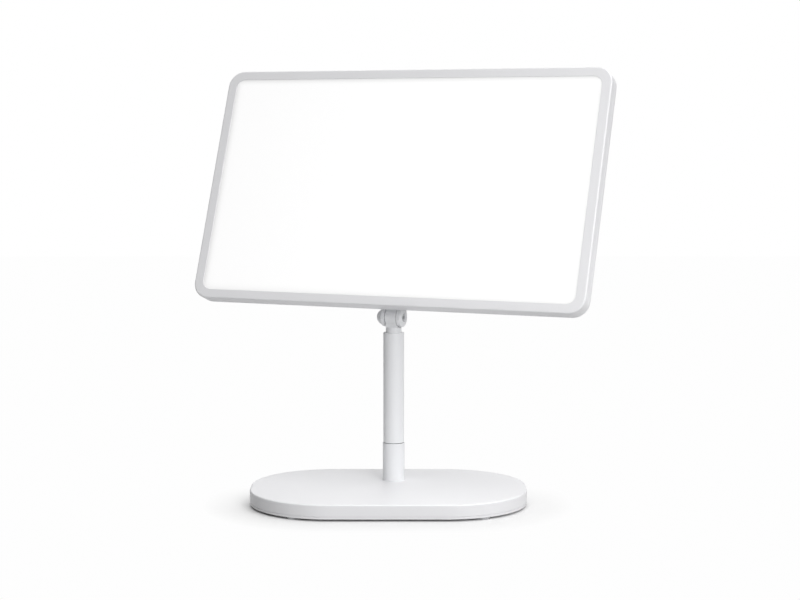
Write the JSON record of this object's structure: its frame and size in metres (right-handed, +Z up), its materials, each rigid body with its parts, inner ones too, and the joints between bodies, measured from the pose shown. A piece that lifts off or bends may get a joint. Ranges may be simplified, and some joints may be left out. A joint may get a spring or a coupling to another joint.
{
  "type": "light therapy lamp",
  "caption": "Large flat light therapy panel on a telescopic post with swivel, height and tilt adjustment, a weighted oval base and push buttons on the back.",
  "frame": {"origin": "on the table top under the post axis, in the middle of the centre foot's ring", "axes": "+Z up along the post, -Y towards the user over the long front edge of the base, +X to the user's right"},
  "size_m": [0.383, 0.2391, 0.3888],
  "materials": {
    "shell": "fine satin moulded ABS",
    "post_paint": "smooth white powder coat",
    "weight_steel": "grey primed steel plate",
    "screw_steel": "nickel plated steel",
    "foot_rubber": "pale grey moulded rubber",
    "bush_plastic": "turned acetal",
    "diffuser_acrylic": "opal acrylic sheet, lit from behind",
    "guide_acrylic": "clear polished acrylic",
    "reflector_film": "white foamed film",
    "spreader_aluminium": "rolled sheet",
    "board_laminate": "white solder mask on glass laminate",
    "led_phosphor": "phosphor filled silicone",
    "switch_plastic": "black moulded nylon",
    "lead_pvc": "white PVC sleeve",
    "button_plastic": "light grey moulded ABS"
  },
  "bodies": {
    "base": {"base_cover": "shell", "base_weight": "weight_steel", "bottom_plate": "shell", "feet": "foot_rubber", "centre_foot": "foot_rubber", "base_screws": "screw_steel", "post_sleeve": "post_paint", "post_bolt": "screw_steel", "post_washer": "screw_steel", "swivel_bush": "bush_plastic", "swivel_grub_screw": "screw_steel", "thrust_washer": "bush_plastic"},
    "mast": {"swivel_spigot": "screw_steel", "mast_tube": "post_paint", "guide_bush": "bush_plastic", "guide_screw": "screw_steel"},
    "riser": {"riser_rod": "post_paint", "rod_foot": "bush_plastic", "knuckle": "post_paint", "hinge_washers": "bush_plastic"},
    "panel": {"front_frame": "shell", "diffuser": "diffuser_acrylic", "light_guide": "guide_acrylic", "reflector_sheet": "reflector_film", "heat_spreader": "spreader_aluminium", "led_boards": "board_laminate", "leds": "led_phosphor", "back_cover": "shell", "case_screws": "screw_steel", "stiffener_plate": "screw_steel", "tilt_bracket": "post_paint", "bracket_screws": "screw_steel", "pivot_bolt": "screw_steel", "cap_nut": "post_paint", "control_housing": "shell", "housing_screws": "screw_steel", "driver_board": "board_laminate", "board_screws": "screw_steel", "tact_switches": "switch_plastic", "dc_jack": "switch_plastic", "driver_parts": "switch_plastic", "led_leads": "lead_pvc"},
    "power_button": {"power_button": "button_plastic"},
    "brightness_button": {"brightness_button": "button_plastic"},
    "timer_button": {"timer_button": "button_plastic"}
  },
  "joints": [
    {"name": "swivel", "type": "hinge", "parent": "base", "child": "mast", "pos_m": [0, 0, 0.0498], "axis": [0, 0, 1], "continuous": true},
    {"name": "height", "type": "slide", "parent": "mast", "child": "riser", "axis": [0, 0, 1], "range_m": [0, 0.075]},
    {"name": "tilt", "type": "hinge", "parent": "riser", "child": "panel", "pos_m": [0, 0, 0.1643], "axis": [0.9143, -0.4051, 0], "range_deg": [-59.6, 50.4]},
    {"name": "power_press", "type": "slide", "parent": "panel", "child": "power_button", "axis": [-0.3797, -0.8569, 0.3486], "range_m": [0, 0.0008], "stiffness_N_per_m": 1500, "springref_m": -0.0004},
    {"name": "brightness_press", "type": "slide", "parent": "panel", "child": "brightness_button", "axis": [-0.3797, -0.8569, 0.3486], "range_m": [0, 0.0008], "stiffness_N_per_m": 1500, "springref_m": -0.0004},
    {"name": "timer_press", "type": "slide", "parent": "panel", "child": "timer_button", "axis": [-0.3797, -0.8569, 0.3486], "range_m": [0, 0.0008], "stiffness_N_per_m": 1500, "springref_m": -0.0004}
  ]
}
